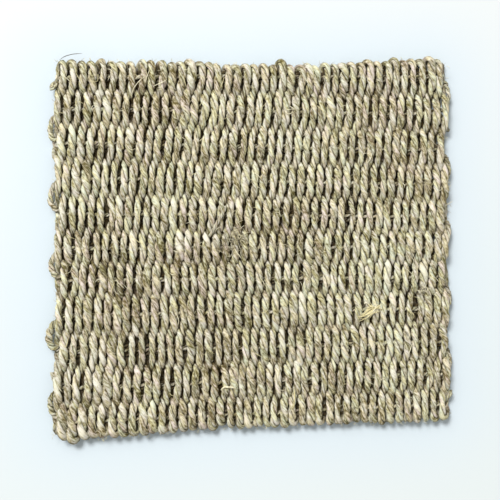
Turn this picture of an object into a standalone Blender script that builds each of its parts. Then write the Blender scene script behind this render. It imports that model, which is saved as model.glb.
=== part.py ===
"""A small woven grass mat, lying flat: one closed solid with its uneven outline and its raised rows.

Thick grass cords run side by side along Y, over and under eleven rows that run along X. Each cord turns
round over the mat's end, so both ends are scalloped. The thin cord inside the rows turns at the sides and
stands out there as short loops. Sizes are in millimetres, and MM turns them into metres at the end.
"""
import bisect
import math

import bmesh
import bpy
from mathutils import Vector

MM = 0.001

# Driving dimensions
THICKNESS = 13.6
END_TURNS = 42
TURN_DEPTH = 2.0
POINTS_PER_TURN = 4
POINTS_PER_LOOP = 7

# How far left and right of the middle the two sides lie, from the bottom end up
SIDES = (
    # y, left, right
    (-142, -153.6, 150.0),
    (-103, -152.8, 149.9),
    (-73, -150.7, 149.8),
    (-37, -149.9, 149.8),
    (15, -149.5, 150.2),
    (66, -149.1, 149.8),
    (106, -147.9, 150.1),
    (145, -145.7, 149.4),
)

# How far down and up the two ends lie, from the left side across
ENDS = (
    # x, bottom, top
    (-157, -139.6, 138.2),
    (-128, -140.8, 138.6),
    (-90, -139.4, 138.2),
    (-58, -138.0, 138.7),
    (-20, -137.8, 136.6),
    (14, -137.8, 136.2),
    (57, -138.1, 137.2),
    (98, -139.2, 139.4),
    (125, -139.5, 141.2),
    (153, -138.4, 141.4),
)

# Turns of the face cord that reach further out than the rest, or less far where the number is negative
UNEVEN_TURNS = (
    # end, x, further by
    ("top", -113.5, 1.8),
    ("top", -49.5, 1.2),
    ("top", 15.4, 4.2),
    ("top", 85.2, 2.2),
    ("top", 106.5, 2.0),
    ("top", 134.0, 2.0),
    ("bottom", -135.5, 2.6),
    ("bottom", -28.6, -3.2),
    ("bottom", 98.6, 0.8),
)

# Loops where the row cord turns at a side
SIDE_LOOPS = (
    # side, y, half length, stands out by
    ("left", 118.2, 5.5, 3.4),
    ("left", 87.0, 8.0, 4.2),
    ("left", 38.2, 8.0, 4.1),
    ("left", -11.5, 8.0, 4.6),
    ("left", -64.3, 9.5, 6.8),
    ("left", -91.0, 5.5, 2.8),
    ("left", -113.1, 8.0, 4.2),
    ("right", 113.5, 8.5, 2.9),
    ("right", 86.5, 6.0, 1.8),
    ("right", 57.2, 8.5, 3.0),
    ("right", 9.1, 8.5, 2.4),
    ("right", -43.8, 8.5, 2.7),
    ("right", -92.3, 8.0, 2.5),
    ("right", -116.7, 7.0, 3.0),
)

# Where one row ends and the next begins, from the bottom end up, at ROW_SIDE to the left and to the right
ROW_SIDE = 150.0
ROW_EDGES = (
    # left, right
    (-138.5, -138.0),
    (-115.3, -114.3),
    (-88.0, -91.0),
    (-62.2, -64.0),
    (-34.4, -39.0),
    (-10.6, -15.5),
    (13.2, 7.4),
    (39.9, 31.6),
    (65.4, 57.0),
    (91.2, 84.8),
    (114.8, 112.4),
    (137.0, 142.3),
)
ROWS = len(ROW_EDGES) - 1

# One row in section: how far across the row, and what part of the full thickness the mat has there
ROW_SECTION = (
    # share, thickness
    (0.0, 0.56),
    (0.12, 0.82),
    (0.30, 1.0),
    (0.70, 1.0),
    (0.88, 0.82),
    (1.0, 0.56),
)

# The mat's rounded edge in section: how far in from the outline, at what part of the thickness
EDGE_SECTION = (
    # inset, height
    (4.6, 0.0),
    (1.2, 0.16),
    (0.0, 0.5),
    (1.2, 0.84),
    (4.6, 1.0),
)
EDGE_BAND = 8.0
CROSS_CUTS = 7
CUT_SNAP = 1e-4

GRASS_COLOR = (0.347, 0.314, 0.212, 1.0)
GRASS_ROUGHNESS = 0.85
SMOOTH_UNDER = math.radians(30)


def clear_scene():
    for thing in list(bpy.data.objects):
        bpy.data.objects.remove(thing, do_unlink=True)


def eased(table, column, place):
    """A table's column at a place between its rows, eased from one row to the next."""
    after = min(max(bisect.bisect([row[0] for row in table], place), 1), len(table) - 1)
    low, high = table[after - 1], table[after]
    share = min(max((place - low[0]) / (high[0] - low[0]), 0.0), 1.0)
    share = share * share * (3 - 2 * share)
    return low[column] + (high[column] - low[column]) * share


def straight(table, place):
    """The second column of a two-column table, in straight runs from row to row."""
    after = min(max(bisect.bisect([row[0] for row in table], place), 1), len(table) - 1)
    low, high = table[after - 1], table[after]
    share = (place - low[0]) / (high[0] - low[0])
    return low[1] + (high[1] - low[1]) * min(max(share, 0.0), 1.0)


def end_line(end, x):
    return eased(ENDS, 1 if end == "bottom" else 2, x)


def side_line(side, y):
    return eased(SIDES, 1 if side == "left" else 2, y)


def end_points(end):
    """The scallops of one end, from its left corner to its right corner."""
    outward = 1 if end == "top" else -1
    left, right = [side_line(side, end_line(end, 0.0)) for side in ("left", "right")]
    pitch = (right - left) / END_TURNS
    further = [0.0] * END_TURNS
    for uneven_end, x, extra in UNEVEN_TURNS:
        if uneven_end == end:
            further[int((x - left) / pitch)] = extra
    points = []
    for turn in range(END_TURNS):
        for step in range(POINTS_PER_TURN):
            share = step / POINTS_PER_TURN
            x = left + (turn + share) * pitch
            out = (further[turn] + TURN_DEPTH) * math.sin(math.pi * share) ** 0.6 - TURN_DEPTH
            points.append((x, end_line(end, x) + outward * out))
    points.append((right, end_line(end, right) - outward * TURN_DEPTH))
    return points


def side_points(side, lowest, highest):
    """One side with its loops, from just above its bottom corner to just below its top corner."""
    outward = 1 if side == "right" else -1
    stands_out = {row[0]: 0.0 for row in SIDES}
    for loop_side, middle, half, proud in SIDE_LOOPS:
        if loop_side != side:
            continue
        stands_out = {y: out for y, out in stands_out.items() if abs(y - middle) > half + 1}
        for step in range(POINTS_PER_LOOP):
            angle = math.pi * step / (POINTS_PER_LOOP - 1)
            stands_out[middle - half * math.cos(angle)] = proud * math.sin(angle)
    heights = sorted(y for y in stands_out if lowest < y < highest)
    return [(side_line(side, y) + outward * stands_out[y], y) for y in heights]


def outline():
    """The mat seen from above, anticlockwise from its bottom left corner."""
    bottom, top = end_points("bottom"), end_points("top")
    left = side_points("left", bottom[0][1], top[0][1])
    right = side_points("right", bottom[-1][1], top[-1][1])
    return bottom + right + top[::-1] + left[::-1]


def drawn_in(value, low, high, inset):
    """A place near an edge, moved inward so that the edge itself moves by the inset."""
    keep = 1 - inset / EDGE_BAND
    if value < low + EDGE_BAND:
        return low + EDGE_BAND - (low + EDGE_BAND - value) * keep
    if value > high - EDGE_BAND:
        return high - EDGE_BAND + (value - high + EDGE_BAND) * keep
    return value


def ring(points, inset, height):
    """The outline drawn in by an inset, at a part of the thickness."""
    places = []
    for x, y in points:
        new_x = drawn_in(x, side_line("left", y), side_line("right", y), inset)
        new_y = drawn_in(y, end_line("bottom", x), end_line("top", x), inset)
        places.append((new_x, new_y, height * THICKNESS))
    return places


def in_row(index, share, x):
    """The height of a line that runs along a row, a share of the way across it."""
    across = (x + ROW_SIDE) / (2 * ROW_SIDE)
    low, high = [left + (right - left) * across for left, right in ROW_EDGES[index:index + 2]]
    return low + (high - low) * share


def thickness_share(x, y):
    """What part of the full thickness the mat has at a place. Both end rows stay full at the mat's ends."""
    for index in range(ROWS):
        low, high = in_row(index, 0, x), in_row(index, 1, x)
        if y <= high or index == ROWS - 1:
            share = (y - low) / (high - low)
            at_mat_end = (index == 0 and share < 0.5) or (index == ROWS - 1 and share > 0.5)
            return 1.0 if at_mat_end else straight(ROW_SECTION, share)


def cut(mesh, point, normal):
    everything = mesh.verts[:] + mesh.edges[:] + mesh.faces[:]
    bmesh.ops.bisect_plane(mesh, geom=everything, dist=CUT_SNAP, plane_co=point, plane_no=normal)


def cut_rows(mesh):
    """Cuts along each row where its section bends, and a few straight across all rows."""
    for index in range(ROWS):
        for share, thickness in ROW_SECTION[1:]:
            if index == ROWS - 1 and share > 0.5:
                continue
            left, right = in_row(index, share, -ROW_SIDE), in_row(index, share, ROW_SIDE)
            if index > 0 or share > 0.5:
                cut(mesh, (-ROW_SIDE, left, 0), Vector((left - right, 2 * ROW_SIDE, 0)).normalized())
    for step in range(1, CROSS_CUTS + 1):
        cut(mesh, (ROW_SIDE * (2 * step / (CROSS_CUTS + 1) - 1), 0, 0), (1, 0, 0))


def grass_material():
    material = bpy.data.materials.new("twisted grass")
    material.use_nodes = True
    shader = material.node_tree.nodes["Principled BSDF"]
    shader.inputs["Base Color"].default_value = GRASS_COLOR
    shader.inputs["Roughness"].default_value = GRASS_ROUGHNESS
    shader.inputs["Metallic"].default_value = 0.0
    material.diffuse_color = GRASS_COLOR
    return material


def make_mat():
    points = outline()
    mesh = bmesh.new()
    rings = []
    for inset, height in EDGE_SECTION:
        rings.append([mesh.verts.new(place) for place in ring(points, inset, height)])
    for lower, upper in zip(rings, rings[1:]):
        for i in range(len(points)):
            mesh.faces.new((lower[i - 1], lower[i], upper[i], upper[i - 1]))
    mesh.faces.new(rings[-1])
    mesh.faces.new(rings[0][::-1])
    cut_rows(mesh)

    # Valleys between the rows, on the face and on the underside
    for vert in mesh.verts:
        share = thickness_share(vert.co.x, vert.co.y)
        vert.co.z = THICKNESS / 2 + (vert.co.z - THICKNESS / 2) * share

    # The origin is under the middle of the mat's own box
    xs = [vert.co.x for vert in mesh.verts]
    ys = [vert.co.y for vert in mesh.verts]
    middle = Vector(((min(xs) + max(xs)) / 2, (min(ys) + max(ys)) / 2, 0))
    for vert in mesh.verts:
        vert.co = (vert.co - middle) * MM
    bmesh.ops.triangulate(mesh, faces=mesh.faces[:])
    bmesh.ops.recalc_face_normals(mesh, faces=mesh.faces[:])

    data = bpy.data.meshes.new("mat")
    mesh.to_mesh(data)
    mesh.free()
    data.materials.append(grass_material())
    data.shade_smooth()
    data.set_sharp_from_angle(angle=SMOOTH_UNDER)
    bpy.context.collection.objects.link(bpy.data.objects.new("mat", data))


clear_scene()
make_mat()
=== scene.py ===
"""A woven grass mat, cord by cord: one thick face cord up and down over both ends, one thin row cord
to and fro inside the rows with its turns at the sides, and the loose fibres. Sizes are in millimetres in
the mat's own measure, and in_frame() brings them into the frame's metres."""
import bisect
import math

import bpy
import numpy as np
from mathutils import Matrix, Vector


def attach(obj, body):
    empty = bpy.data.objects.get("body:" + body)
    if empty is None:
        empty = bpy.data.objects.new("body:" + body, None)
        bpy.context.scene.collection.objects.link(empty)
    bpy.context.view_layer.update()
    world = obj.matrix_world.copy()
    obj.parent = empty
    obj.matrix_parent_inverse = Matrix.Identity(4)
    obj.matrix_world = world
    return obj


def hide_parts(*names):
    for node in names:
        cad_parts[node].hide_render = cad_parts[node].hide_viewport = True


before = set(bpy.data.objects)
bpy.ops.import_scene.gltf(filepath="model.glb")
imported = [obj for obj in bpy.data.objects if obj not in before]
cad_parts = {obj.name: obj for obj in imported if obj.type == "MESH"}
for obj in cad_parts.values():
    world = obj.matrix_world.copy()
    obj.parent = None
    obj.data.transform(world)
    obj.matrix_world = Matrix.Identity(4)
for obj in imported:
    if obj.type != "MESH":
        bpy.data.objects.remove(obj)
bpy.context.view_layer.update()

MM = 0.001
# The middle of the solid's box, which lies over the frame's origin
MIDDLE = np.array((-2.225, 0.0, 0.0))
THICKNESS = 13.6
MID = THICKNESS / 2
# Nothing comes nearer to the floor than this
LOWEST = 0.02
SEED = 7

# The mat's measures, as its solid has them
SIDES = (
    # y, left, right
    (-142, -153.6, 150.0),
    (-103, -152.8, 149.9),
    (-73, -150.7, 149.8),
    (-37, -149.9, 149.8),
    (15, -149.5, 150.2),
    (66, -149.1, 149.8),
    (106, -147.9, 150.1),
    (145, -145.7, 149.4),
)
ENDS = (
    # x, bottom, top
    (-157, -139.6, 138.2),
    (-128, -140.8, 138.6),
    (-90, -139.4, 138.2),
    (-58, -138.0, 138.7),
    (-20, -137.8, 136.6),
    (14, -137.8, 136.2),
    (57, -138.1, 137.2),
    (98, -139.2, 139.4),
    (125, -139.5, 141.2),
    (153, -138.4, 141.4),
)
UNEVEN_TURNS = (
    # end, x, further by
    ("top", -113.5, 1.8),
    ("top", -49.5, 1.2),
    ("top", 15.4, 4.2),
    ("top", 85.2, 2.2),
    ("top", 106.5, 2.0),
    ("top", 134.0, 2.0),
    ("bottom", -135.5, 2.6),
    ("bottom", -28.6, -3.2),
    ("bottom", 98.6, 0.8),
)
SIDE_LOOPS = (
    # side, y, half length, stands out by
    ("left", 118.2, 5.5, 3.4),
    ("left", 87.0, 8.0, 4.2),
    ("left", 38.2, 8.0, 4.1),
    ("left", -11.5, 8.0, 4.6),
    ("left", -64.3, 9.5, 6.8),
    ("left", -91.0, 5.5, 2.8),
    ("left", -113.1, 8.0, 4.2),
    ("right", 113.5, 8.5, 2.9),
    ("right", 86.5, 6.0, 1.8),
    ("right", 57.2, 8.5, 3.0),
    ("right", 9.1, 8.5, 2.4),
    ("right", -43.8, 8.5, 2.7),
    ("right", -92.3, 8.0, 2.5),
    ("right", -116.7, 7.0, 3.0),
)
# A loop with a shorter half is a turn within a row, if that turn is no further away than this
SMALL_LOOP = 7.5
SMALL_LOOP_REACH = 11.0
# Where one row ends and the next begins, from the bottom up, at ROW_SIDE to the left and to the right
ROW_SIDE = 150.0
ROW_EDGES = (
    # left, right
    (-138.5, -138.0),
    (-115.3, -114.3),
    (-88.0, -91.0),
    (-62.2, -64.0),
    (-34.4, -39.0),
    (-10.6, -15.5),
    (13.2, 7.4),
    (39.9, 31.6),
    (65.4, 57.0),
    (91.2, 84.8),
    (114.8, 112.4),
    (137.0, 142.3),
)
ROWS = len(ROW_EDGES) - 1

# How the face cords have strayed as a whole: to the right near both ends, to the left halfway up,
# most of all left of the mat's middle and not at all at its sides, in a wave so many rows long
DRIFT = 3.6
DRIFT_MOST = -40.0
DRIFT_ROWS = 10.5

# The face cord
FACE_COLUMNS = 85
FACE_RADIUS = 2.62
FACE_INSET = 2.3
PITCH = 3.56
FACE_LAY = 23.5
FACE_STEP = 1.5
FACE_SIDES = 10
FACE_PIECES = 4
# The turns at the mat's ends, how unevenly they reach, and the cord's own two ends
TURN_SPREAD = 0.4
END_TURN_REACH = 5.0
END_TURN_STEPS = 14
BOTTOM_TURN_THICKER = 0.18
TAIL = 16.0
TAIL_STEPS = 8
TAIL_ASIDE = 2.4
TAIL_THICKNESS = 0.85

# How the floats differ: sideways, in thickness, in height, and in which way they lean
FLOAT_LEAN = 0.3
FLOAT_SHIFT = 0.55
STRAY_FLOATS = 0.12
STRAY_SHIFT = 0.9
CROSSING_SHIFT = 0.22
FLOAT_SIZE_SPREAD = 0.105
FLOAT_SIZES = (0.78, 1.22)
FAT_FLOATS = 0.035
FAT_SIZES = (1.20, 1.34)
FLOAT_LOWER = 0.35
# The cord is thicker in the lower left corner, by so much in each of the three lowest rows
CORNER_FATTER = 0.18
CORNER_ROWS = (1.0, 0.4, 0.4)
CORNER_START = -90.0
CORNER_FULL = -120.0
# A float's shape: its rise as the sum of two waves, how many radii of the cord lie between its crest
# and the mat's face, and the cord's form where it crosses the row
CREST = 1.1
CREST_FLATTER = 0.1
CREST_ROOM = 1.1
CROSSING_WIDTH = 0.82
CROSSING_HEIGHT = 1.10
CROSSING_END = 0.6

# The row cord
ROW_CORD_RADIUS = 1.75
ROW_CORD_GAP = 2.8
ROW_CORD_LIFT = 0.8
ROW_CORD_LAY = 12.0
ROW_CORD_STEP = 1.7
ROW_CORD_SIDES = 8
# A pass through a row, and the turns at its sides, which show as loops where they stand out
PASS_LEFT = -144.0
PASS_RIGHT = 146.0
PASS_STEP = 2.0
LOOP_THINNEST = 1.7
LOOP_THICKEST = 2.6
LOOP_THICKENING = 0.50
LOOP_EXTRA = 0.9
LOOP_STEPS = 16
LOOP_START = 5.0
LOOP_TILT = 0.8
LOOP_ROUNDNESS = 0.8
HIDDEN_TURN = -0.4

# A ply in section, in parts of its cord's radius
PLY_OFF_CENTRE = 0.49
PLY_DEEP = 0.58
PLY_WIDE = 0.82
PLY_FULLNESS = 0.86
# How far apart two plies lie in the grass pattern, so that no two look the same
PLY_APART = 5000.0

# Plies that are much paler than the rest, where they lie on top
PALE_PLIES = (
    # x, y, half length
    (-135, 129, 6),
    (-49, 131, 7),
    (-119, 108, 11),
    (-111, 109, 8),
    (-94, 84, 7),
    (-24, 57, 6),
    (-144, 28, 7),
    (-61, 29, 5),
    (-37, 32, 5),
    (-18, 27, 5),
    (-61, 4, 6),
    (-53, 7, 6),
    (-41, 5, 5),
    (13, -18, 6),
    (-31, -21, 11),
    (99, -24, 9),
    (127, -25, 9),
    (36, -43, 6),
    (-124, -65, 5),
    (-93, -64, 8),
    (-116, -78, 11),
    (-125, -80, 8),
    (20, -71, 6),
    (-148, -99, 5),
    (-120, -99, 6),
    (11, -95, 7),
    (107, -98, 7),
    (-134, -128, 9),
    (-121, -123, 9),
    (120, -123, 5),
)
# How wide such a place is, where it fades out, and how far a ply has to be raised in its cord
PALE_REACH = 3.4
PALE_START = 0.85
PALE_SOFTNESS = 0.3
PALE_RAISED = 0.25

# Tubes are laid out in strips this long for painting, with margins as shares of a strip
STRIP = 300.0
STRIP_MARGIN = 0.005
STRIP_USED = 0.985
TUBE_MARGIN = 0.05
TUBE_USED = 0.9
END_PAINT = 0.999

# The camera, at the photograph's angle to the mat's face
CAMERA_PLACE = (-139.28, 29.13, 817.64 + MID)
CAMERA_AIM = (-5.11, -3.02, MID)
CAMERA_ROLL = math.radians(0.9)
CAMERA_LENS = 79.2


def in_frame(places):
    """Places on the mat in the frame's metres."""
    return (np.asarray(places, float) - MIDDLE) * MM


def add_object(name, data):
    """A new object in the scene, from a mesh, a light or a camera."""
    added = bpy.data.objects.new(name, data)
    bpy.context.scene.collection.objects.link(added)
    return added


def make_camera():
    """The photograph's camera, at its place over the mat."""
    place, aim = Vector(in_frame(CAMERA_PLACE)), Vector(in_frame(CAMERA_AIM))
    forward = (aim - place).normalized()
    right = forward.cross(Vector((math.sin(CAMERA_ROLL), math.cos(CAMERA_ROLL), 0))).normalized()
    turned = Matrix((right, right.cross(forward), -forward)).transposed()
    data = bpy.data.cameras.new("camera")
    data.lens = CAMERA_LENS
    data.sensor_width = 36.0
    data.clip_start = 0.01
    camera = add_object("camera", data)
    camera.matrix_world = Matrix.Translation(place) @ turned.to_4x4()
    bpy.context.scene.camera = camera


make_camera()


# Where things lie on the mat

def eased(table, column, place):
    """A table's column at a place between its rows, eased from one row to the next."""
    after = min(max(bisect.bisect([row[0] for row in table], place), 1), len(table) - 1)
    low, high = table[after - 1], table[after]
    share = min(max((place - low[0]) / (high[0] - low[0]), 0.0), 1.0)
    share = share * share * (3 - 2 * share)
    return low[column] + (high[column] - low[column]) * share


def end_line(end, x):
    """How far down or up one of the mat's ends lies."""
    return eased(ENDS, 1 if end == "bottom" else 2, x)


def side_line(side, y):
    """How far left or right one of the mat's sides lies."""
    return eased(SIDES, 1 if side == "left" else 2, y)


def row_edge(index, x):
    """The height on the mat at which a row begins, counted from the bottom."""
    left, right = ROW_EDGES[index]
    return left + (right - left) * (x + ROW_SIDE) / (2 * ROW_SIDE)


def row_middle(index, x):
    """The height on the mat of a row's middle."""
    return (row_edge(index, x) + row_edge(index + 1, x)) / 2


def column_place(column, y):
    """The middle of a face cord's column at a height on the mat."""
    left, right = side_line("left", y) + FACE_INSET, side_line("right", y) - FACE_INSET
    return left + (right - left) * column / (FACE_COLUMNS - 1)


def smoothstep(share):
    """A share from 0 to 1, eased at both ends."""
    share = np.clip(share, 0, 1)
    return share * share * (3 - 2 * share)


def drift(x, row):
    """How far to the right a face cord has strayed by a row's middle."""
    from_left = smoothstep((x + ROW_SIDE) / (ROW_SIDE + DRIFT_MOST))
    from_right = smoothstep((ROW_SIDE - x) / (ROW_SIDE - DRIFT_MOST))
    return DRIFT * from_left * from_right * np.cos(2 * math.pi * row / DRIFT_ROWS)


def smooth_run(knots, values, places):
    """A smooth curve through values at knots, read at places."""
    knots, values = np.asarray(knots, float), np.asarray(values, float)
    slopes = np.gradient(values, knots)
    i = np.clip(np.searchsorted(knots, places) - 1, 0, len(knots) - 2)
    gap = knots[i + 1] - knots[i]
    t = np.clip((places - knots[i]) / gap, 0, 1)
    rise = values[i + 1] - values[i]
    a = slopes[i] * gap - rise
    b = rise - slopes[i + 1] * gap
    return values[i] + t * rise + t * (1 - t) * ((1 - t) * a + t * b)


def lengths_along(places):
    """How far along a line of straight pieces each of its places lies."""
    return np.concatenate(([0.0], np.cumsum(np.linalg.norm(np.diff(places, axis=0), axis=1))))


def wander(rng, along, spacing, size):
    """A smooth random value along a run."""
    knots = np.arange(along[0] - 2 * spacing, along[-1] + 3 * spacing, spacing)
    return smooth_run(knots, rng.normal(0, size, len(knots)), along)


# Cords of two twisted plies

# Where a cord's point says how far inside the mat it lies, which also sets how much painted shade it gets
# deep between the cords
INSIDE = 6


class Cord:
    """A cord's centre line with what changes along it, gathered point by point. Each point is x, y, z,
    the cord's radius, its width and height as shares of that, and how far inside the mat it lies."""

    def __init__(self):
        self.points = []

    def add(self, place, radius, width=1.0, height=1.0, inside=1.0):
        self.points.append((*place, radius, width, height, inside))

    def evenly(self, step):
        """How far along each of the line's points lies at equal steps, and the points themselves."""
        rows = np.array(self.points, float)
        gaps = np.linalg.norm(np.diff(rows[:, :3], axis=0), axis=1)
        rows = rows[np.concatenate(([True], gaps > 1e-6))]
        along = lengths_along(rows[:, :3])
        even = np.linspace(0, along[-1], int(round(along[-1] / step)) + 1)
        return even, np.stack([np.interp(even, along, column) for column in rows.T], axis=1)


def rings_of(centre, a, b, reference):
    """Rings round a centre line, from their places a sideways and b upward of it."""
    ahead = np.gradient(centre, axis=0)
    ahead /= np.linalg.norm(ahead, axis=1, keepdims=True)
    reference = np.asarray(reference, float)
    across = reference - (ahead @ reference)[:, None] * ahead
    across /= np.linalg.norm(across, axis=1, keepdims=True)
    upward = np.cross(across, ahead)
    return centre[:, None] + a[..., None] * across[:, None] + b[..., None] * upward[:, None]


def two_plies(rng, along, rows, lay, sides, reference):
    """A cord's two plies, each as rings of places. They turn as an S twist does."""
    centre, radius, width, height = rows[:, :3], rows[:, 3:4], rows[:, 4:5], rows[:, 5:6]
    local_lay = lay * (1 + wander(rng, along, 40.0, 0.15))
    angle = np.cumsum(np.gradient(along) * 2 * math.pi / local_lay) + rng.uniform(0, 2 * math.pi)
    side = np.arange(sides) * 2 * math.pi / sides
    outward = np.sign(np.cos(side)) * np.abs(np.cos(side)) ** PLY_FULLNESS
    sideways = np.sign(np.sin(side)) * np.abs(np.sin(side)) ** PLY_FULLNESS
    plies = []
    for ply in (0, 1):
        blades = np.stack([wander(rng, along, 8.0, 0.045) for _ in side], axis=1)
        slow = wander(rng, along, 9.0, 0.06) + wander(rng, along, 45.0, 0.05)
        size = radius * (1 + blades + slow[:, None])
        turn = (angle + math.pi * ply)[:, None]
        deep = size * (PLY_OFF_CENTRE + PLY_DEEP * outward)
        wide = size * PLY_WIDE * sideways
        a = (deep * np.cos(turn) - wide * np.sin(turn)) * width
        b = (deep * np.sin(turn) + wide * np.cos(turn)) * height
        plies.append(rings_of(centre, a, b, reference))
    return plies


def paleness(ply, rows):
    """How pale a ply is at each of its rings: it is where it lies on top at one of the pale places."""
    raised = ply.mean(axis=1)[:, 2] - rows[:, 2]
    pale = np.zeros(len(rows))
    for x, y, half in PALE_PLIES:
        apart = np.maximum(np.abs(rows[:, 0] - x) / PALE_REACH, np.abs(rows[:, 1] - y) / half)
        pale = np.maximum(pale, 1 - smoothstep((apart - PALE_START) / PALE_SOFTNESS))
    return pale * smoothstep(raised / rows[:, 3] / PALE_RAISED) * (rows[:, 2] > MID)


def tube_mesh(name, tubes, material):
    """One skin for each tube, closed at its ends. A tube is its places by ring and side, and then for
    each ring how far along it lies, how far inside the mat and how pale it is. For painting, the tubes
    are laid end to end in strips."""
    sides = tubes[0][0].shape[1]
    side = np.arange(sides) * 2 * math.pi / sides
    strips = int(sum(tube[1][-1] - tube[1][0] for tube in tubes) // STRIP) + 1
    verts, faces, ends, strand, inside, pale, paint = [], [], [], [], [], [], []
    first, start = 0, 0.0
    for number, (places, along, within, paler) in enumerate(tubes):
        rings = len(along)
        verts.append(places.reshape(-1, 3))
        strand.append(np.stack([np.repeat(along + PLY_APART * number, sides),
                                np.tile(np.cos(side), rings), np.tile(np.sin(side), rings)], axis=1))
        inside.append(np.repeat(within, sides))
        pale.append(np.repeat(paler, sides))
        grids = np.meshgrid(np.arange(rings - 1), np.arange(sides), indexing="ij")
        ring, j = [grid.ravel() for grid in grids]
        low, high, after = first + ring * sides, first + (ring + 1) * sides, (j + 1) % sides
        faces.append(np.stack([low + j, low + after, high + after, high + j], axis=1))
        ends.append((first + np.arange(sides)[::-1]).tolist())
        ends.append((first + (rings - 1) * sides + np.arange(sides)).tolist())
        laid = start + along - along[0]
        strip = (laid[ring] // STRIP).astype(int)
        u0, u1 = [STRIP_MARGIN + STRIP_USED * (laid[ring + k] - strip * STRIP) / STRIP for k in (0, 1)]
        v0, v1 = [(strip + TUBE_MARGIN + TUBE_USED * (j + k) / sides) / strips for k in (0, 1)]
        paint.append(np.stack([u0, v0, u0, v1, u1, v1, u1, v0], axis=1).ravel())
        first += rings * sides
        start += along[-1] - along[0]
    places = np.concatenate(verts)
    places[:, 2] = np.maximum(places[:, 2], LOWEST)
    mesh = bpy.data.meshes.new(name)
    mesh.from_pydata(in_frame(places).tolist(), [], np.concatenate(faces).tolist() + ends)
    layer = mesh.uv_layers.new(name="OFBake")
    paint.append(np.full(2 * sides * len(ends), END_PAINT))
    layer.uv.foreach_set("vector", np.concatenate(paint).astype(np.float32))
    attribute = mesh.attributes.new("strand", "FLOAT_VECTOR", "POINT")
    attribute.data.foreach_set("vector", np.concatenate(strand).astype(np.float32).ravel())
    for kind, values in (("inside", inside), ("pale", pale)):
        attribute = mesh.attributes.new(kind, "FLOAT", "POINT")
        attribute.data.foreach_set("value", np.concatenate(values).astype(np.float32))
    mesh.shade_smooth()
    mesh.materials.append(material)
    return add_object(name, mesh)


# The face cord

def further_turns(end, rng):
    """How much further than the end line each turn reaches, by its left column."""
    extra = rng.normal(0, TURN_SPREAD, FACE_COLUMNS)
    columns = [column_place(column, end_line(end, 0)) for column in range(FACE_COLUMNS)]
    turns = range(0 if end == "top" else 1, FACE_COLUMNS - 1, 2)
    for uneven_end, x, further in UNEVEN_TURNS:
        if uneven_end == end:
            turn = min(turns, key=lambda left: abs(columns[left] + PITCH / 2 - x))
            extra[turn] = further
    return extra


class FaceWeave:
    """Where the face cord runs in every column and row, and how thick it is there."""

    def __init__(self, rng):
        shape = (FACE_COLUMNS, ROWS)
        column, row = np.indices(shape)
        self.side = np.where((column + row) % 2 == 1, 1.0, -1.0)
        self.shift = rng.normal(0, FLOAT_SHIFT, shape)
        self.shift += (rng.random(shape) < STRAY_FLOATS) * rng.normal(0, STRAY_SHIFT, shape)
        self.size = np.clip(rng.normal(1.0, FLOAT_SIZE_SPREAD, shape), *FLOAT_SIZES)
        fat = rng.random(shape) < FAT_FLOATS
        self.size[fat] = rng.uniform(*FAT_SIZES, fat.sum())
        self.lower = np.abs(rng.normal(0, FLOAT_LOWER, shape))
        places = np.array([column_place(column, 0) for column in range(FACE_COLUMNS)])
        cornered = smoothstep((CORNER_START - places) / (CORNER_START - CORNER_FULL))
        self.size[:, :len(CORNER_ROWS)] += CORNER_FATTER * np.outer(cornered, CORNER_ROWS)
        self.drift = drift(places[:, None], row)
        edge_side = np.concatenate((-self.side[:, :1], self.side), axis=1)
        self.edge_shift = rng.normal(0, CROSSING_SHIFT, edge_side.shape) + edge_side * FLOAT_LEAN / 2

    def column(self, column, bottom, top, step=0.8):
        """A column's run from height bottom to height top, as rows of place, radius, width and height."""
        middle = column_place(column, 0)
        edges = np.array([row_edge(i, middle) for i in range(ROWS + 1)])
        centres = (edges[:-1] + edges[1:]) / 2
        knots = np.sort(np.concatenate((edges, centres)))
        shifts = np.empty(len(knots))
        shifts[0::2] = self.edge_shift[column]
        shifts[1::2] = self.shift[column]
        y = np.arange(bottom, top, step)
        row = np.clip(np.searchsorted(edges, y) - 1, 0, ROWS - 1)
        t = np.clip((y - edges[row]) / (edges[row + 1] - edges[row]), 0, 1)
        rise = CREST * np.sin(math.pi * t) + CREST_FLATTER * np.sin(3 * math.pi * t)
        rise = np.where((row == 0) & (t < 0.5) | (row == ROWS - 1) & (t > 0.5), 1.0, rise)
        strayed = smooth_run(knots, shifts, y) + smooth_run(centres, self.drift[column], y)
        x = np.array([column_place(column, v) for v in y]) + strayed
        radius = FACE_RADIUS * smooth_run(centres, self.size[column], y)
        crest = MID - radius * CREST_ROOM - self.lower[column][row] * rise
        full = smoothstep(rise / CROSSING_END)
        width = CROSSING_WIDTH + (1 - CROSSING_WIDTH) * full
        height = CROSSING_HEIGHT + (1 - CROSSING_HEIGHT) * full
        return np.stack([x, y, MID + self.side[column][row] * crest * rise, radius, width, height], axis=1)


def round_end(cord, start, finish, reach, outward):
    """The cord's turn round the mat's end. It moves over to the next column mostly at the back."""
    radius = (start[3] + finish[3]) / 2
    deep = (reach - radius * outward - start[1]) * outward
    for step in range(1, END_TURN_STEPS):
        share = step / END_TURN_STEPS
        turn = math.pi * share
        ease = smoothstep((share - 0.1) / 0.9) if start[2] > finish[2] else smoothstep(share / 0.9)
        x = start[0] + (finish[0] - start[0]) * ease
        y = start[1] + (finish[1] - start[1]) * share + outward * deep * math.sin(turn)
        z = (start[2] + finish[2]) / 2 + (start[2] - finish[2]) / 2 * math.cos(turn)
        thicker = 1 + (BOTTOM_TURN_THICKER * math.sin(turn) if outward < 0 else 0)
        cord.add((x, y, z), (start[3] + (finish[3] - start[3]) * share) * thicker, inside=0.5)


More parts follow.
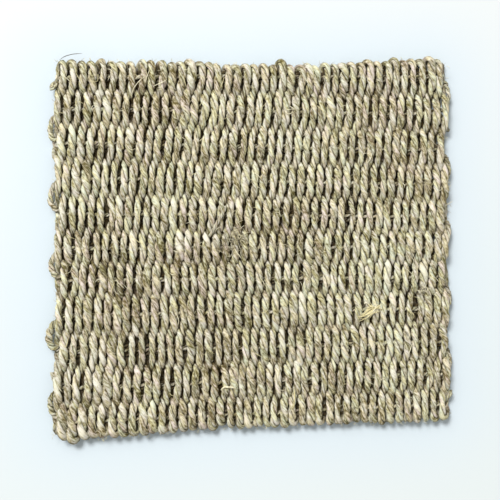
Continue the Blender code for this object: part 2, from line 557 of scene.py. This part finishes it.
def tucked_end(last, outward):
    """The cord's points past the end of its last run: round the mat's end and back inside the row."""
    tail = Cord()
    aside = -TAIL_ASIDE if outward > 0 else TAIL_ASIDE
    finish = np.array((last[0] + aside, last[1], MID, last[3] * TAIL_THICKNESS))
    round_end(tail, last, finish, last[1] + outward * END_TURN_REACH, outward)
    for step in range(1, TAIL_STEPS + 1):
        tail.add((finish[0], finish[1] - outward * TAIL * step / TAIL_STEPS, MID), finish[3])
    return tail.points


def face_cord(rng):
    """The whole face cord: up the first column, over the top, down the next, and so on."""
    weave = FaceWeave(rng)
    beyond = {end: further_turns(end, rng) for end in ("bottom", "top")}
    runs, reaches = [], []
    for column in range(FACE_COLUMNS):
        middle = column_place(column, 0)
        up = column % 2 == 0
        low = end_line("bottom", middle) - beyond["bottom"][max(column - up, 0)]
        high = end_line("top", middle) + beyond["top"][column - (not up)]
        run = weave.column(column, low + END_TURN_REACH + FACE_RADIUS, high - END_TURN_REACH - FACE_RADIUS)
        runs.append(run if up else run[::-1])
        reaches.append(high if up else low)
    cord = Cord()
    cord.points += tucked_end(runs[0][0], -1)[::-1]
    for column, run in enumerate(runs):
        for row in run:
            cord.add(row[:3], *row[3:], inside=0.4 if column in (0, FACE_COLUMNS - 1) else 1.0)
        if column + 1 < FACE_COLUMNS:
            round_end(cord, run[-1], runs[column + 1][0], reaches[column], 1 if column % 2 == 0 else -1)
    cord.points += tucked_end(runs[-1][-1], 1)
    return cord


# The row cord

def turn_out(cord, side, low, high, tip, out_to, radius):
    """A turn at the side, from one pass of the row cord to the one above it."""
    outward = 1 if side == "right" else -1
    inside = side_line(side, tip) - outward * LOOP_START
    outside = side_line(side, tip) + outward * (out_to - radius)
    for step in range(LOOP_STEPS + 1):
        turn = math.pi * step / LOOP_STEPS
        out = math.sin(turn) ** LOOP_ROUNDNESS
        y = (low + high) / 2 - (high - low) / 2 * math.cos(turn) + (tip - (low + high) / 2) * out
        place = (inside + (outside - inside) * out, y, MID + LOOP_TILT * math.sin(2 * turn))
        cord.add(place, ROW_CORD_RADIUS + (radius - ROW_CORD_RADIUS) * out, inside=1 - out)


def row_cord(rng):
    """The thin cord: three passes in each row, then a loop out at the side and into the next row."""
    cord = Cord()
    rightward = False
    for row in range(ROWS):
        for place in (-1, 0, 1):
            xs = np.arange(PASS_LEFT, PASS_RIGHT, PASS_STEP)
            wave, lift = wander(rng, xs, 14.0, 0.25), wander(rng, xs, 11.0, 0.3)
            size = ROW_CORD_RADIUS * (1 + wander(rng, xs, 30.0, 0.05))
            for i in range(len(xs)) if rightward else reversed(range(len(xs))):
                y = row_middle(row, xs[i]) + ROW_CORD_GAP * place + wave[i]
                raised = ROW_CORD_LIFT * (1 - 2 * abs(place))
                cord.add((xs[i], y, MID + raised + lift[i]), size[i])
            side = "right" if rightward else "left"
            rightward = not rightward
            here = row_middle(row, ROW_SIDE if side == "right" else -ROW_SIDE)
            if place < 1:
                turn_in_row(cord, side, here + ROW_CORD_GAP * place)
            elif row + 1 < ROWS:
                above = row_middle(row + 1, ROW_SIDE if side == "right" else -ROW_SIDE)
                turn_to_next(cord, side, here + ROW_CORD_GAP, above - ROW_CORD_GAP)
    return cord


def turn_in_row(cord, side, low):
    """The turn between two passes of one row, which stands out only where a small loop shows."""
    high = low + ROW_CORD_GAP
    for loop_side, y, half, proud in SIDE_LOOPS:
        if loop_side == side and half < SMALL_LOOP and abs(y - (low + high) / 2) < SMALL_LOOP_REACH:
            turn_out(cord, side, low, high, y, proud + LOOP_EXTRA, LOOP_THINNEST)
            return
    turn_out(cord, side, low, high, (low + high) / 2, HIDDEN_TURN, ROW_CORD_RADIUS)


def turn_to_next(cord, side, low, high):
    """The turn from one row to the next, which stands out at the side as a loop."""
    loops = [loop for loop in SIDE_LOOPS if loop[0] == side and loop[2] > SMALL_LOOP]
    _, y, _, proud = min(loops, key=lambda loop: abs(loop[1] - (low + high) / 2))
    radius = min(max(LOOP_THICKENING * proud, LOOP_THINNEST), LOOP_THICKEST)
    turn_out(cord, side, low, high, y, proud + LOOP_EXTRA, radius)


# Loose fibres: straws and hairs that show one by one, as places above the mat's underside
LOOSE_STRAWS = (
    # thickness, colour, the places that it runs through
    (0.50, "dark", ((-143.5, 138.3, 9), (-140.3, 140.1, 12), (-136.0, 141.5, 13), (-127.4, 142.5, 14))),
    (0.50, "pale", ((-82.0, 126.2, 12.4), (-84.9, 124.0, 13.6), (-88.3, 120.4, 13.9),
                    (-90.6, 117.1, 13.8), (-92.6, 110.3, 12.6))),
    (0.60, "pale", ((-66.1, 124.0, 12.8), (-69.1, 122.0, 13.8), (-73.7, 120.0, 14.0),
                    (-76.3, 118.8, 13.2))),
    (0.50, "pale", ((-73.0, 117.9, 11.8), (-70.9, 118.3, 12.6), (-68.9, 118.6, 11.8))),
    (0.45, "pale", ((-73.2, 116.3, 11.8), (-71.0, 116.5, 12.4), (-69.1, 116.4, 11.6))),
    (0.50, "pale", ((22.1, 100.1, 13.2), (24.1, 98.4, 14.2), (25.9, 98.7, 14.6), (28.6, 100.7, 13.4))),
    (0.45, "pale", ((25.6, 104.8, 13.0), (26.8, 103.3, 14.2), (28.3, 102.7, 14.4), (29.1, 101.4, 13.2))),
    (0.45, "pale", ((22.6, 102.0, 13.0), (24.9, 101.6, 14.4), (27.2, 102.2, 14.4), (29.5, 101.6, 13.0))),
    (0.45, "straw", ((-17.4, 12.4, 13.0), (-15.2, 7.9, 13.9), (-11.5, 0.4, 13.2))),
    (0.50, "straw", ((-16.2, 13.1, 13.2), (-13.0, 7.1, 14.0), (-10.4, 2.6, 13.2))),
    (0.40, "straw", ((-18.5, 11.0, 13.0), (-16.8, 5.0, 13.9), (-13.8, -0.3, 13.0))),
    (0.75, "pale", ((-17.8, -1.8, 13.4), (-15.4, -5.5, 14.0), (-12.5, -9.2, 13.0))),
    (1.00, "straw", ((79.6, -54.7, 13.0), (83.9, -50.8, 14.1), (88.8, -47.8, 13.6))),
    (1.05, "straw", ((83.4, -53.9, 13.2), (87.3, -50.6, 14.2), (90.2, -49.3, 14.4), (93.0, -49.3, 14.0),
                     (95.8, -50.8, 13.0))),
    (0.90, "straw", ((83.9, -45.7, 13.2), (86.7, -47.8, 14.4), (89.6, -51.4, 13.4))),
    (0.80, "straw", ((76.1, -54.0, 12.6), (77.4, -55.6, 13.6), (79.7, -55.1, 14.0), (82.5, -51.9, 13.8))),
    (0.75, "pale", ((81.4, -46.2, 13.4), (82.1, -44.6, 14.2), (83.6, -45.2, 14.6), (83.0, -46.8, 13.8))),
    (0.80, "pale", ((92.4, -47.3, 13.2), (93.7, -49.2, 14.0), (93.8, -51.5, 13.2))),
    (0.80, "straw", ((86.0, -56.6, 13.2), (87.2, -53.0, 14.6), (87.4, -48.4, 15.0), (86.1, -44.9, 13.6))),
    (0.75, "pale", ((89.9, -44.2, 13.4), (90.3, -47.6, 14.8), (88.2, -51.2, 15.0), (84.6, -53.4, 13.8))),
    (0.70, "straw", ((94.9, -46.0, 13.4), (91.6, -48.4, 14.8), (86.8, -49.2, 15.0), (82.0, -48.4, 13.6))),
    (1.50, "pale", ((-29.9, -107.1, 13.0), (-28.2, -105.2, 14.2), (-24.1, -105.0, 14.5),
                    (-20.8, -105.4, 14.3), (-17.7, -107.0, 13.0))),
    (1.30, "grey", ((-29.7, -106.7, 13.6), (-28.7, -108.2, 13.8), (-27.2, -109.5, 13.6),
                    (-25.4, -111.3, 12.4))),
    (1.05, "straw", ((26.4, -108.4, 13.2), (26.2, -113.9, 14.0), (25.8, -118.4, 14.0),
                     (25.4, -123.7, 13.2))),
    (0.60, "pale", ((-46.4, -117.1, 13.2), (-45.2, -121.2, 13.8), (-44.6, -127.3, 13.8),
                    (-44.3, -132.6, 12.8), (-44.0, -136.4, 11.5))),
    (0.55, "pale", ((-106.3, -22.6, 13.4), (-103.7, -25.7, 13.9), (-100.1, -29.1, 13.2))),
    (0.40, "pale", ((146.9, 27.8, 12.0), (149.7, 29.6, 11.6), (153.3, 31.3, 11.0))),
)
# A whole ply that has slipped out and lies slanting over its neighbours
SLIPPED_PLY = (
    (-23.6, 30.5, 11.0),
    (-25.0, 27.3, 12.6),
    (-27.4, 23.0, 13.4),
    (-29.9, 19.0, 13.6),
    (-32.0, 15.4, 13.5),
    (-34.0, 11.8, 13.0),
    (-36.4, 8.0, 11.6),
)
SLIPPED_RADIUS = 1.45
SLIPPED_TIP = 0.55
SLIPPED_POINTS = 40
SLIPPED_STEP = 1.0
SLIPPED_LAY = 9.0
SLIPPED_SIDES = 8
SLIPPED_PALENESS = 0.4
# The tuft of straws that has burst out of a cord
TUFT_ENDS = ((80.2, -54.6, 12.6), (91.6, -48.0, 13.4))
TUFT_STRAWS = 15
# Places where the cords are frayed
FRAYED = (
    # x, y, reach, hairs
    (-19, 6, 5.0, 80),
    (128, -38, 3.0, 35),
)
FINE_HAIRS = 420
FLAT_STRAWS = 130
EDGE_HAIRS = 260
FIBRE_STEP = 1.2
FIBRE_FEWEST_STEPS = 4
FIBRE_SIDES = 4
# A fibre's ends are so thick, as a share of its thickness, and taper over a quarter of its length
FIBRE_TIP = 0.35
FIBRE_TAPER = 4


def fibre_tube(places, thickness):
    """A thin fibre as a tube through places, drawn out at both its ends."""
    places = np.asarray(places, float)
    knots = lengths_along(places)
    along = np.linspace(0, knots[-1], max(int(knots[-1] / FIBRE_STEP), FIBRE_FEWEST_STEPS) + 1)
    centre = np.stack([smooth_run(knots, column, along) for column in places.T], axis=1)
    from_tip = np.minimum(along, along[-1] - along)
    taper = FIBRE_TIP + (1 - FIBRE_TIP) * np.clip(FIBRE_TAPER * from_tip / along[-1], 0, 1)
    side = np.arange(FIBRE_SIDES) * 2 * math.pi / FIBRE_SIDES
    ring = thickness / 2 * taper[:, None]
    a, b = ring * np.cos(side), ring * np.sin(side)
    reference = (0, 0, 1) if abs(centre[-1, 2] - centre[0, 2]) < 0.8 * along[-1] else (1, 0, 0)
    return rings_of(centre, a, b, reference), along, np.zeros(len(along)), np.zeros(len(along))


def on_a_float(rng):
    """A place on top of a face cord, somewhere along one of its floats."""
    row = rng.integers(0, ROWS)
    column = 2 * rng.integers(0, FACE_COLUMNS // 2) + (row + 1) % 2
    x = column_place(column, 0)
    y = row_edge(row, x) + (row_edge(row + 1, x) - row_edge(row, x)) * rng.uniform(0.2, 0.8)
    return np.array((x + rng.normal(0, 1.0), y, THICKNESS - 0.7))


def headed(heading):
    """The level direction of a heading, and the one to its left."""
    ahead = np.array((math.cos(heading), math.sin(heading), 0))
    return ahead, np.array((-ahead[1], ahead[0], 0))


def hair_from(start, rng):
    """A bent hair that rises from its start: its places and its thickness, as for each kind of fibre."""
    heading, length = rng.uniform(0, 2 * math.pi), rng.uniform(2.5, 7.0)
    ahead, aside = headed(heading)
    bend = aside * rng.normal(0, 0.18) * length
    middle = start + ahead * length / 2 + bend + (0, 0, rng.uniform(0.6, 1.6))
    return (start, middle, start + ahead * length + (0, 0, rng.uniform(0.2, 1.6))), rng.uniform(0.20, 0.38)


def fine_hair(rng):
    """A hair that stands off one of the floats."""
    return hair_from(on_a_float(rng), rng)


def frayed_hair(rng, x, y, reach):
    """A hair in a frayed place."""
    return hair_from(np.array((x, y, THICKNESS - 0.5)) + rng.normal(0, (reach, reach, 0.2)), rng)


def flat_straw(rng):
    """A straw that lies along a float, a little askew."""
    middle = on_a_float(rng)
    heading, length = math.pi / 2 + rng.normal(0.35, 0.45), rng.uniform(4.0, 10.0)
    ahead, aside = headed(heading)
    bend = aside * rng.normal(0, 0.08) * length
    start = middle - ahead * length / 2 - (0, 0, 0.5)
    tip = middle + ahead * length / 2
    return (start, middle + bend + (0, 0, 0.9), tip), rng.uniform(0.30, 0.60)


def tuft_straw(rng):
    """A straw of the tuft, from near one of its ends to near the other."""
    low, high = [np.array(place) + rng.normal(0, (2.0, 1.8, 0.2)) for place in TUFT_ENDS]
    middle = (low + high) / 2 + rng.normal(0, (1.4, 1.8, 0.3)) + (0, 0, 1.2)
    return (low, middle, high), rng.uniform(0.45, 0.85)


def edge_hair(rng):
    """A short hair that stands out at one of the mat's four edges."""
    side = rng.choice(("left", "right", "bottom", "top"))
    outward = 1 if side in ("right", "top") else -1
    height = rng.uniform(3, 12)
    if side in ("left", "right"):
        y = rng.uniform(-138, 138)
        start, out = np.array((side_line(side, y) - outward * 0.8, y, height)), np.array((outward, 0, 0))
    else:
        x = rng.uniform(-150, 148)
        start, out = np.array((x, end_line(side, x) - outward * 1.2, height)), np.array((0, outward, 0))
    length = rng.uniform(1.5, 4.5)
    along_edge = np.array((out[1], out[0], 0)) * rng.normal(0, 0.9)
    tip = start + (out + along_edge) * length * 0.7 + (0, 0, rng.normal(0, 0.8))
    middle = (start + tip) / 2 + rng.normal(0, 0.25, 3) * length * 0.5
    above_floor = np.maximum((start, middle, tip), (-np.inf, -np.inf, 0.4))
    return above_floor, rng.uniform(0.16, 0.28)


def make_fibres(finishes):
    """The loose fibres, joined by their finish."""
    rng = np.random.default_rng(SEED + 1)
    tubes = {name: [] for name in finishes}
    for thickness, finish, places in LOOSE_STRAWS:
        tubes[finish].append(fibre_tube(places, thickness))
    for maker, count in ((fine_hair, FINE_HAIRS), (flat_straw, FLAT_STRAWS), (edge_hair, EDGE_HAIRS)):
        for _ in range(count):
            places, thickness = maker(rng)
            tubes[rng.choice(("pale", "straw", "grey"))].append(fibre_tube(places, thickness))
    for _ in range(TUFT_STRAWS):
        places, thickness = tuft_straw(rng)
        tubes[rng.choice(("pale", "straw"))].append(fibre_tube(places, thickness))
    for x, y, reach, hairs in FRAYED:
        for _ in range(hairs):
            places, thickness = frayed_hair(rng, x, y, reach)
            tubes[rng.choice(("pale", "grey", "dark"))].append(fibre_tube(places, thickness))
    return [tube_mesh(f"{name}_fibres", group, finishes[name]) for name, group in tubes.items()]


# Shader maths

class Value:
    """What a shader socket gives. Numbers take part in ordinary sums."""

    def __init__(self, finish, socket):
        self.finish, self.socket = finish, socket

    def maths(self, operation, *values):
        return self.finish.node("ShaderNodeMath", {"operation": operation}, dict(enumerate(values)))

    def __add__(self, other):
        return self.maths("ADD", self, other)

    def __sub__(self, other):
        return self.maths("SUBTRACT", self, other)

    def __mul__(self, other):
        return self.maths("MULTIPLY", self, other)

    def __rsub__(self, other):
        return self.maths("SUBTRACT", other, self)

    def __abs__(self):
        return self.maths("ABSOLUTE", self)

    __radd__, __rmul__ = __add__, __mul__

    def between(self, low, high):
        """0 below low and 1 above high, with a soft rise."""
        return self.finish.node("ShaderNodeMapRange", {"interpolation_type": "SMOOTHSTEP"},
                                {"Value": self, "From Min": low, "From Max": high})

    def near_zero(self, low, high):
        """1 while the value is nearer to 0 than low, and 0 when it is further than high."""
        return 1 - abs(self).between(low, high)


class Finish:
    """A material while it is made. Every node comes from one method."""

    def __init__(self, name):
        self.material = bpy.data.materials.new(name)
        self.material.use_nodes = True
        self.tree = self.material.node_tree
        self.shader = self.tree.nodes["Principled BSDF"]

    def node(self, kind, settings=None, sockets=None, output=0):
        """A new node: its settings first, then its sockets' values or links. Gives one of its outputs."""
        node = self.tree.nodes.new(kind)
        for name, value in (settings or {}).items():
            if name == "stops":
                fill_ramp(node.color_ramp, value)
            else:
                setattr(node, name, value)
        self.fill(node, sockets or {})
        return Value(self, node.outputs[output])

    def fill(self, node, sockets):
        """Puts values and links into a node's sockets."""
        for name, value in sockets.items():
            if isinstance(value, Value):
                self.tree.links.new(value.socket, node.inputs[name])
            else:
                node.inputs[name].default_value = value

    def noise(self, vector, factors, detail=1.0, roughness=0.5):
        """Smooth noise that runs from 0 to 1 about a half, with so many waves to each unit of a vector."""
        stretched = self.node("ShaderNodeVectorMath", {"operation": "MULTIPLY"}, {0: vector, 1: factors})
        return self.node("ShaderNodeTexNoise", {"noise_dimensions": "3D"},
                         {"Vector": stretched, "Scale": 1.0, "Detail": detail, "Roughness": roughness})

    def blended(self, share, first, second, way="MIX"):
        """Two colours, mixed by a share."""
        return self.node("ShaderNodeMix", {"data_type": "RGBA", "blend_type": way},
                         {"Factor": share, 6: first, 7: second}, 2)


def fill_ramp(ramp, stops):
    """Gives a colour ramp its stops."""
    while len(ramp.elements) < len(stops):
        ramp.elements.new(1.0)
    for element, (place, color) in zip(ramp.elements, stops):
        element.position = place
        element.color = color


def srgb(red, green, blue):
    """A colour as a screen names it, in the light values that a shader wants."""
    parts = []
    for part in (red / 255, green / 255, blue / 255):
        parts.append(part / 12.92 if part <= 0.04045 else ((part + 0.055) / 1.055) ** 2.4)
    return (*parts, 1.0)


# From the darkest blade to the palest
GRASS_TONES = (
    (0.05, srgb(93, 84, 48)),
    (0.25, srgb(145, 137, 110)),
    (0.45, srgb(180, 173, 151)),
    (0.60, srgb(195, 189, 170)),
    (0.78, srgb(209, 205, 190)),
    (0.95, srgb(217, 213, 198)),
)
# What each kind of blade takes from white: mauve, straw, grey, green, yellow, and green again
GRASS_TINTS = (
    (0.32, (1.00, 0.925, 0.99, 1)),
    (0.41, (1.00, 0.965, 0.78, 1)),
    (0.48, (0.97, 0.950, 1.00, 1)),
    (0.55, (0.93, 0.985, 0.94, 1)),
    (0.62, (1.00, 0.985, 0.74, 1)),
    (0.70, (0.91, 0.990, 0.92, 1)),
)
# The painted shade's dark brown, for the creases where the plies meet and deep between the cords
PAINTED_SHADE = srgb(54, 38, 0)
FIBRE_SHADE = (0.62, 0.60, 0.52, 1)

# The floor in the picture's lower half and above the mat, a little lighter towards the top as painted
# light; a painted bluish shade close round the mat; and a painted dark shadow right under it, which shows
# through the gaps
FLOOR_SIZE = 3.0
FLOOR_LOW = srgb(205, 212, 213)
FLOOR_HIGH = srgb(210, 214, 215)
FLOOR_SHADE_BESIDE = srgb(198, 210, 219)
PAINTED_SHADOW_UNDER = srgb(70, 60, 45)

# The light, with its places in the frame's metres
ROOM_COLOR = (0.99, 0.985, 0.95, 1.0)
ROOM_STRENGTH = 0.54
WINDOW_PLACE = (-0.50, 0.64, 1.0)
WINDOW_STRENGTH = 2.97
WINDOW_ANGLE = math.radians(17)
WINDOW_COLOR = (1.0, 0.99, 0.97)
LAMP_PLACE = (-0.45, 0.55, 0.80)
LAMP_POWER = 3.4
LAMP_SIZE = 0.5


def twisted_grass():
    """Two-ply grass cord: the blades differ in tone and kind, with fibre lines along them."""
    finish = Finish("twisted grass")
    strand = finish.node("ShaderNodeAttribute", {"attribute_name": "strand"}, output=1)
    inside = finish.node("ShaderNodeAttribute", {"attribute_name": "inside"}, output=2)
    pale = finish.node("ShaderNodeAttribute", {"attribute_name": "pale"}, output=2)
    outward = finish.node("ShaderNodeSeparateXYZ", None, {0: strand}, 1)
    place = finish.node("ShaderNodeNewGeometry")
    height = finish.node("ShaderNodeSeparateXYZ", None, {0: place}, 2)

    blades = finish.noise(strand, (0.05, 0.22, 0.22))
    kinds = finish.noise(strand, (0.06, 0.30, 0.30))
    streaks = finish.noise(strand, (0.2, 1.5, 1.5))
    specks = finish.noise(strand, (0.45, 2.2, 2.2))
    patches = finish.noise(place, (14, 14, 14))

    tone = 0.5 + 1.7 * (blades - 0.5) + 0.5 * (streaks - 0.5) + 1.8 * (specks - 0.5) + 0.4 * (patches - 0.5)
    color = finish.node("ShaderNodeValToRGB", {"stops": GRASS_TONES}, {0: tone + 0.32 * pale})
    tint = finish.node("ShaderNodeValToRGB", {"stops": GRASS_TINTS}, {0: kinds + 0.3 * (patches - 0.5)})
    color = finish.blended(1 - 0.6 * pale, color, tint, "MULTIPLY")

    # Painted shade: dark in the crease where the plies meet, and deep between the cords near the mat's
    # middle plane
    # Painted shade in the crease, on the side of each ply that faces the other
    crease_shade = 1 - outward.between(-0.95, -0.35)
    # Painted shade deep between the cords: darkest near the mat's middle plane, and weaker where a point
    # lies less far inside the mat
    deep = (height - MID * MM).near_zero(0.5 * MM, 3.2 * MM)
    color = finish.blended(0.64 * crease_shade, color, PAINTED_SHADE)
    color = finish.blended(0.92 * deep * inside, color, PAINTED_SHADE)
    relief = finish.node("ShaderNodeBump", None,
                         {"Height": 0.4 * streaks + 0.6 * specks, "Distance": 0.0009, "Strength": 1.0})
    finish.fill(finish.shader, {"Base Color": color, "Roughness": 0.92 - 0.2 * tone, "Normal": relief,
                                "Specular IOR Level": 0.25})
    return finish.material


def loose_grass(name, color):
    """A single loose fibre, a little uneven along its length."""
    finish = Finish(name)
    strand = finish.node("ShaderNodeAttribute", {"attribute_name": "strand"}, output=1)
    uneven = finish.noise(strand, (0.4, 0.6, 0.6), 2.0)
    darker = finish.blended(1.0, color, FIBRE_SHADE, "MULTIPLY")
    finish.fill(finish.shader, {"Base Color": finish.blended(uneven.between(0.4, 0.65), color, darker),
                                "Roughness": 0.75})
    return finish.material


def plain_floor():
    """The pale ground that the mat lies on."""
    finish = Finish("pale floor")
    place = finish.node("ShaderNodeNewGeometry")
    apart = finish.node("ShaderNodeSeparateXYZ", None, {0: place})
    along = finish.node("ShaderNodeSeparateXYZ", None, {0: place}, 1)
    # Painted shade, bluish, on the floor close round the mat
    beside = apart.near_zero(0.13, 0.23) * along.near_zero(0.12, 0.21)
    # Painted light: the floor a little lighter towards the top
    away = finish.blended(along.between(-0.05, 0.20), FLOOR_LOW, FLOOR_HIGH)
    color = finish.blended(beside, away, FLOOR_SHADE_BESIDE)
    # Painted dark shadow on the floor right under the mat
    under = apart.near_zero(0.139, 0.143) * along.near_zero(0.131, 0.135)
    color = finish.blended(under, color, PAINTED_SHADOW_UNDER)
    finish.fill(finish.shader, {"Base Color": color, "Roughness": 0.9})
    size = FLOOR_SIZE
    mesh = bpy.data.meshes.new("floor")
    corners = [(-size, -size, 0), (size, -size, 0), (size, size, 0), (-size, size, 0)]
    mesh.from_pydata(corners, [], [(0, 1, 2, 3)])
    mesh.materials.append(finish.material)
    add_object("floor", mesh)


def add_light(name, kind, place, settings):
    """A light at a place, turned to the frame's origin."""
    light = bpy.data.lights.new(name, kind)
    for setting, value in settings.items():
        setattr(light, setting, value)
    holder = add_object(name, light)
    holder.location = place
    holder.rotation_euler = Vector(place).to_track_quat("Z", "Y").to_euler()


def light_up():
    """A bright room, soft light from a window at the upper left, and a lamp beside it."""
    world = bpy.data.worlds.new("soft room")
    world.use_nodes = True
    background = world.node_tree.nodes["Background"]
    background.inputs["Color"].default_value = ROOM_COLOR
    background.inputs["Strength"].default_value = ROOM_STRENGTH
    bpy.context.scene.world = world
    window = {"energy": WINDOW_STRENGTH, "angle": WINDOW_ANGLE, "color": WINDOW_COLOR}
    add_light("window", "SUN", WINDOW_PLACE, window)
    add_light("lamp", "AREA", LAMP_PLACE, {"energy": LAMP_POWER, "size": LAMP_SIZE})
    bpy.context.scene.view_settings.view_transform = "Standard"


# Making the pieces

def make_cords(grass):
    """The face cord's pieces, and the row cord."""
    rng = np.random.default_rng(SEED)
    face_pieces = []
    along, rows = face_cord(rng).evenly(FACE_STEP)
    plies = two_plies(rng, along, rows, FACE_LAY, FACE_SIDES, (1, 0, 0))
    cuts = np.linspace(0, len(along) - 1, FACE_PIECES + 1).astype(int)
    for number, (start, stop) in enumerate(zip(cuts, cuts[1:]), 1):
        part = slice(start, stop + 1)
        tubes = [(ply[part], along[part], rows[part, INSIDE], paleness(ply[part], rows[part]))
                 for ply in plies]
        face_pieces.append(tube_mesh(f"face_cord_{number}", tubes, grass))
    along, rows = row_cord(rng).evenly(ROW_CORD_STEP)
    plies = two_plies(rng, along, rows, ROW_CORD_LAY, ROW_CORD_SIDES, (0, 0, 1))
    tubes = [(ply, along, rows[:, INSIDE], np.zeros(len(rows))) for ply in plies]
    return face_pieces, tube_mesh("row_cord", tubes, grass)


def slipped_ply(grass):
    """One ply that lies slanting over the cords. It is made as a thin cord of two strands."""
    places = np.asarray(SLIPPED_PLY)
    knots = lengths_along(places)
    cord = Cord()
    for at in np.linspace(0, knots[-1], SLIPPED_POINTS):
        place = [smooth_run(knots, column, np.array([at]))[0] for column in places.T]
        full = math.sin(math.pi * at / knots[-1]) ** 0.5
        cord.add(place, SLIPPED_RADIUS * (SLIPPED_TIP + (1 - SLIPPED_TIP) * full))
    along, rows = cord.evenly(SLIPPED_STEP)
    rng = np.random.default_rng(SEED + 2)
    plies = two_plies(rng, along, rows, SLIPPED_LAY, SLIPPED_SIDES, (1, 0, 0))
    tubes = [(ply, along, rows[:, INSIDE], np.full(len(rows), SLIPPED_PALENESS)) for ply in plies]
    return tube_mesh("slipped_ply", tubes, grass)


plain_floor()
light_up()
grass = twisted_grass()
face_pieces, row_piece = make_cords(grass)
fibre_finishes = {
    "pale": loose_grass("pale fibre", srgb(242, 236, 208)),
    "straw": loose_grass("straw fibre", srgb(226, 216, 170)),
    "grey": loose_grass("grey fibre", srgb(176, 168, 142)),
    "dark": loose_grass("dark fibre", srgb(98, 92, 80)),
}
others = [slipped_ply(grass)] + make_fibres(fibre_finishes)
for piece in face_pieces + [row_piece] + others:
    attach(piece, "root")
    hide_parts("mat")
